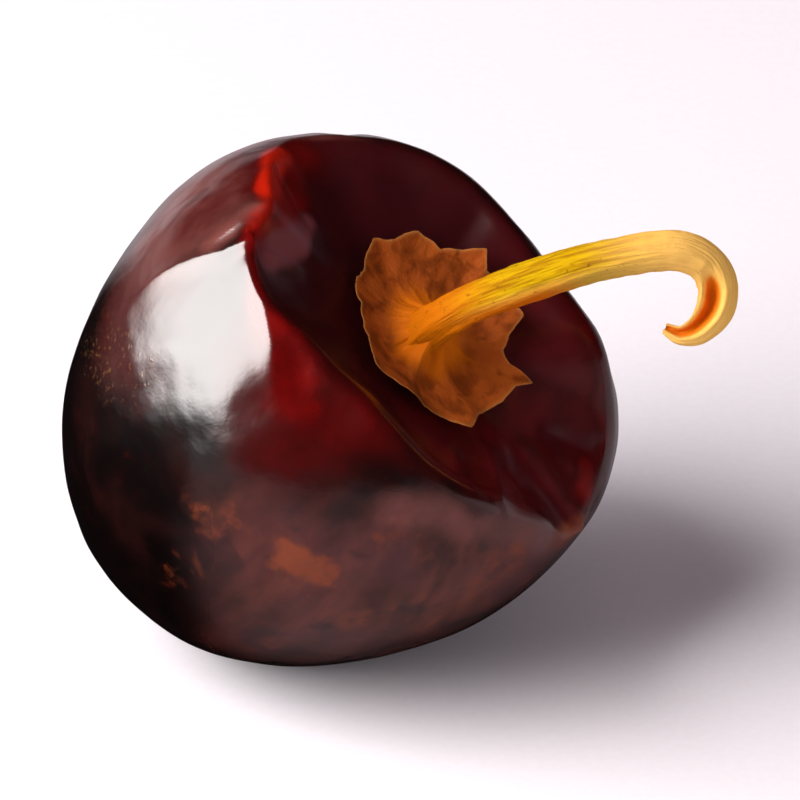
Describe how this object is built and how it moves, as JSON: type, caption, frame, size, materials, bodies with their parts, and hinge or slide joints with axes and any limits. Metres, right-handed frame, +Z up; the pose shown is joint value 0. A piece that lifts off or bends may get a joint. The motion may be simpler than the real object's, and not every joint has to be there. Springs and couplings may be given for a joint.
{
  "type": "cascabel pepper",
  "caption": "Dried round cascabel chilli pepper, lying tilted on its side, with a caved-in top, a papery star-shaped calyx and a hooked stem.",
  "frame": {"origin": "middle of the small flat on the pod's underside that the pepper rests on", "axes": "+Z up, away from the surface it rests on; +X towards the stem's hooked end; +Y away from the viewer of the picture"},
  "size_m": [0.041, 0.0333, 0.0322],
  "materials": {
    "pod_skin": "gloss",
    "calyx_skin": "matte",
    "stem_wood": "matte"
  },
  "bodies": {
    "root": {"pod": "pod_skin", "calyx": "calyx_skin", "stem": "stem_wood"}
  },
  "joints": []
}
